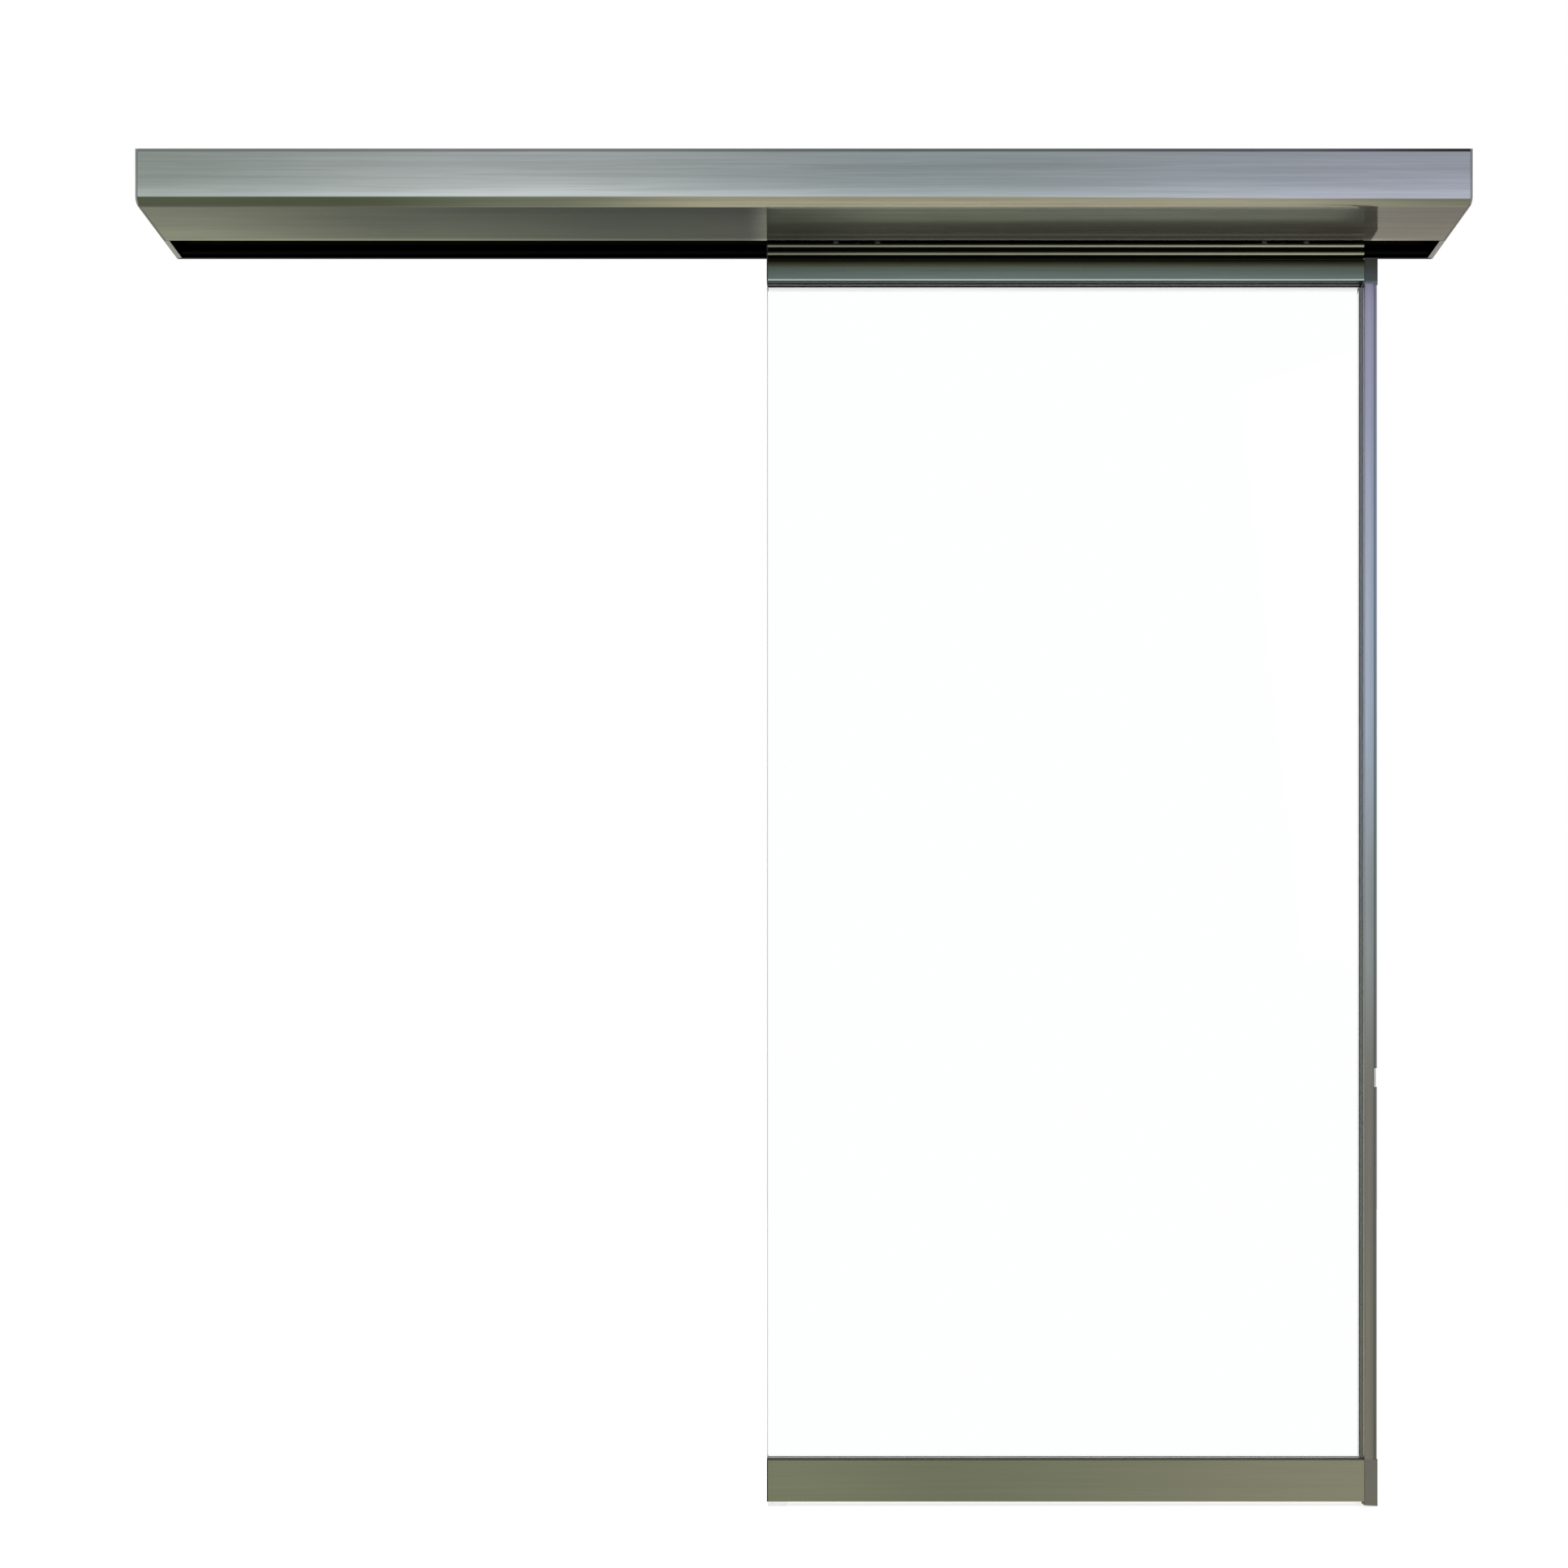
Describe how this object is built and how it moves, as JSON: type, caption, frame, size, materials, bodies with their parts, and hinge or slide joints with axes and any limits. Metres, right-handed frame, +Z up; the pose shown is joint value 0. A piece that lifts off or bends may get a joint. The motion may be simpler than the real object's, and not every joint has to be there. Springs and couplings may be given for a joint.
{
  "type": "automatic sliding door",
  "caption": "Single-leaf automatic sliding door: wall-mounted belt-drive header with a swing-up cover, and a clear glass leaf in top and bottom rails hung from wheeled carriages.",
  "frame": {"origin": "centre of the outer wall fixings, on the wall face of the header", "axes": "+X to the right along the header as seen from the front, +Y into the wall, +Z up"},
  "size_m": [2.1252, 0.166, 2.186],
  "materials": {
    "anodised_frame": "satin anodised",
    "anodised_cover": "satin anodised, brushed along its length",
    "bright_rail": "mill finish",
    "leaf_rail": "brushed, champagne grey",
    "leaf_base_rail": "brushed, champagne grey",
    "leaf_stile": "brushed, champagne grey",
    "corner_grey": "fine texture",
    "cap_black": "fine texture",
    "clear_glass": "clear tempered",
    "seal_rubber": "matt",
    "glazing_gasket": "translucent",
    "stile_rubber": "matt",
    "nose_rubber": "matt",
    "zinc_steel": "zinc plated",
    "bracket_steel": "zinc plated",
    "axle_steel": "turned",
    "wheel_plastic": "moulded",
    "cast_housing": "die cast",
    "motor_black": "satin black",
    "case_black": "fine texture",
    "terminal_green": "moulded",
    "supply_metal": "perforated sheet",
    "belt_rubber": "matt",
    "guide_plastic": "moulded, white"
  },
  "bodies": {
    "header": {"carrier_profile": "anodised_frame", "running_rail": "bright_rail", "rail_damping_strip": "seal_rubber", "end_plate_left": "anodised_frame", "end_plate_right": "anodised_frame", "end_plate_screws": "zinc_steel", "cover_clips": "zinc_steel", "stop_brackets": "bracket_steel", "stop_buffers": "seal_rubber", "gearbox_housing": "cast_housing", "gearbox_cover": "cast_housing", "motor_can": "motor_black", "encoder_cap": "case_black", "motor_bracket": "bracket_steel", "toothed_belt": "belt_rubber", "idler_axle": "axle_steel", "idler_bracket": "bracket_steel", "tension_anchor": "bracket_steel", "tension_screw": "zinc_steel", "control_case": "case_black", "control_terminals": "terminal_green", "power_supply": "supply_metal", "battery_pack": "case_black", "channel_bolts": "zinc_steel", "cable_grommet": "seal_rubber", "guide_base": "guide_plastic", "guide_blade": "guide_plastic"},
    "cover": {"front_cover": "anodised_cover"},
    "leaf": {"top_rail": "leaf_rail", "top_rail_end_cap": "cap_black", "top_corner_block": "corner_grey", "bottom_rail": "leaf_base_rail", "bottom_rail_end_cap": "cap_black", "bottom_corner_block": "corner_grey", "leading_stile": "leaf_stile", "nose_seal": "nose_rubber", "glass_pane": "clear_glass", "top_gasket": "glazing_gasket", "bottom_gasket": "glazing_gasket", "stile_gasket": "stile_rubber", "edge_keeper": "zinc_steel", "carriage_plate_1": "bracket_steel", "carriage_plate_2": "bracket_steel", "wheel_axles_1": "axle_steel", "wheel_axles_2": "axle_steel", "hanger_bolts": "zinc_steel", "hanger_nuts": "zinc_steel", "belt_clamp_arm": "bracket_steel", "belt_clamp_jaws": "bracket_steel", "belt_clamp_screws": "zinc_steel"},
    "wheel_1": {"wheel_1": "wheel_plastic"},
    "wheel_2": {"wheel_2": "wheel_plastic"},
    "wheel_3": {"wheel_3": "wheel_plastic"},
    "wheel_4": {"wheel_4": "wheel_plastic"},
    "counter_roller_1": {"counter_roller_1": "wheel_plastic"},
    "counter_roller_2": {"counter_roller_2": "wheel_plastic"},
    "drive_pulley": {"drive_pulley": "bright_rail", "output_shaft": "axle_steel"},
    "idler_pulley": {"idler_pulley": "bright_rail"}
  },
  "joints": [
    {"name": "leaf_slide", "type": "slide", "parent": "header", "child": "leaf", "axis": [-1, 0, 0], "range_m": [0, 0.98], "deforming": ["toothed_belt"]},
    {"name": "cover_hinge", "type": "hinge", "parent": "header", "child": "cover", "pos_m": [0, -0.16, 0.0256], "axis": [-1, 0, 0], "range_deg": [0, 90]},
    {"name": "wheel_spin_1", "type": "hinge", "parent": "leaf", "child": "wheel_1", "pos_m": [0.027, -0.022, 0.003], "axis": [0, -1, 0], "continuous": true},
    {"name": "wheel_spin_2", "type": "hinge", "parent": "leaf", "child": "wheel_2", "pos_m": [0.147, -0.022, 0.003], "axis": [0, -1, 0], "continuous": true},
    {"name": "wheel_spin_3", "type": "hinge", "parent": "leaf", "child": "wheel_3", "pos_m": [0.743, -0.022, 0.003], "axis": [0, -1, 0], "continuous": true},
    {"name": "wheel_spin_4", "type": "hinge", "parent": "leaf", "child": "wheel_4", "pos_m": [0.863, -0.022, 0.003], "axis": [0, -1, 0], "continuous": true},
    {"name": "counter_spin_1", "type": "hinge", "parent": "leaf", "child": "counter_roller_1", "pos_m": [0.087, -0.022, -0.0355], "axis": [0, 1, 0], "continuous": true},
    {"name": "counter_spin_2", "type": "hinge", "parent": "leaf", "child": "counter_roller_2", "pos_m": [0.803, -0.022, -0.0355], "axis": [0, 1, 0], "continuous": true},
    {"name": "drive_spin", "type": "hinge", "parent": "header", "child": "drive_pulley", "pos_m": [0.976, -0.068, -0.01403], "axis": [0, 1, 0], "continuous": true},
    {"name": "idler_spin", "type": "hinge", "parent": "header", "child": "idler_pulley", "pos_m": [-1, -0.068, -0.01403], "axis": [0, 1, 0], "continuous": true}
  ],
  "couplings": [
    {"joint": "wheel_spin_1", "follows": "leaf_slide", "rad_per_m": 58.824},
    {"joint": "wheel_spin_2", "follows": "leaf_slide", "rad_per_m": 58.824},
    {"joint": "wheel_spin_3", "follows": "leaf_slide", "rad_per_m": 58.824},
    {"joint": "wheel_spin_4", "follows": "leaf_slide", "rad_per_m": 58.824},
    {"joint": "drive_spin", "follows": "leaf_slide", "rad_per_m": 43.633},
    {"joint": "idler_spin", "follows": "leaf_slide", "rad_per_m": 43.633}
  ]
}
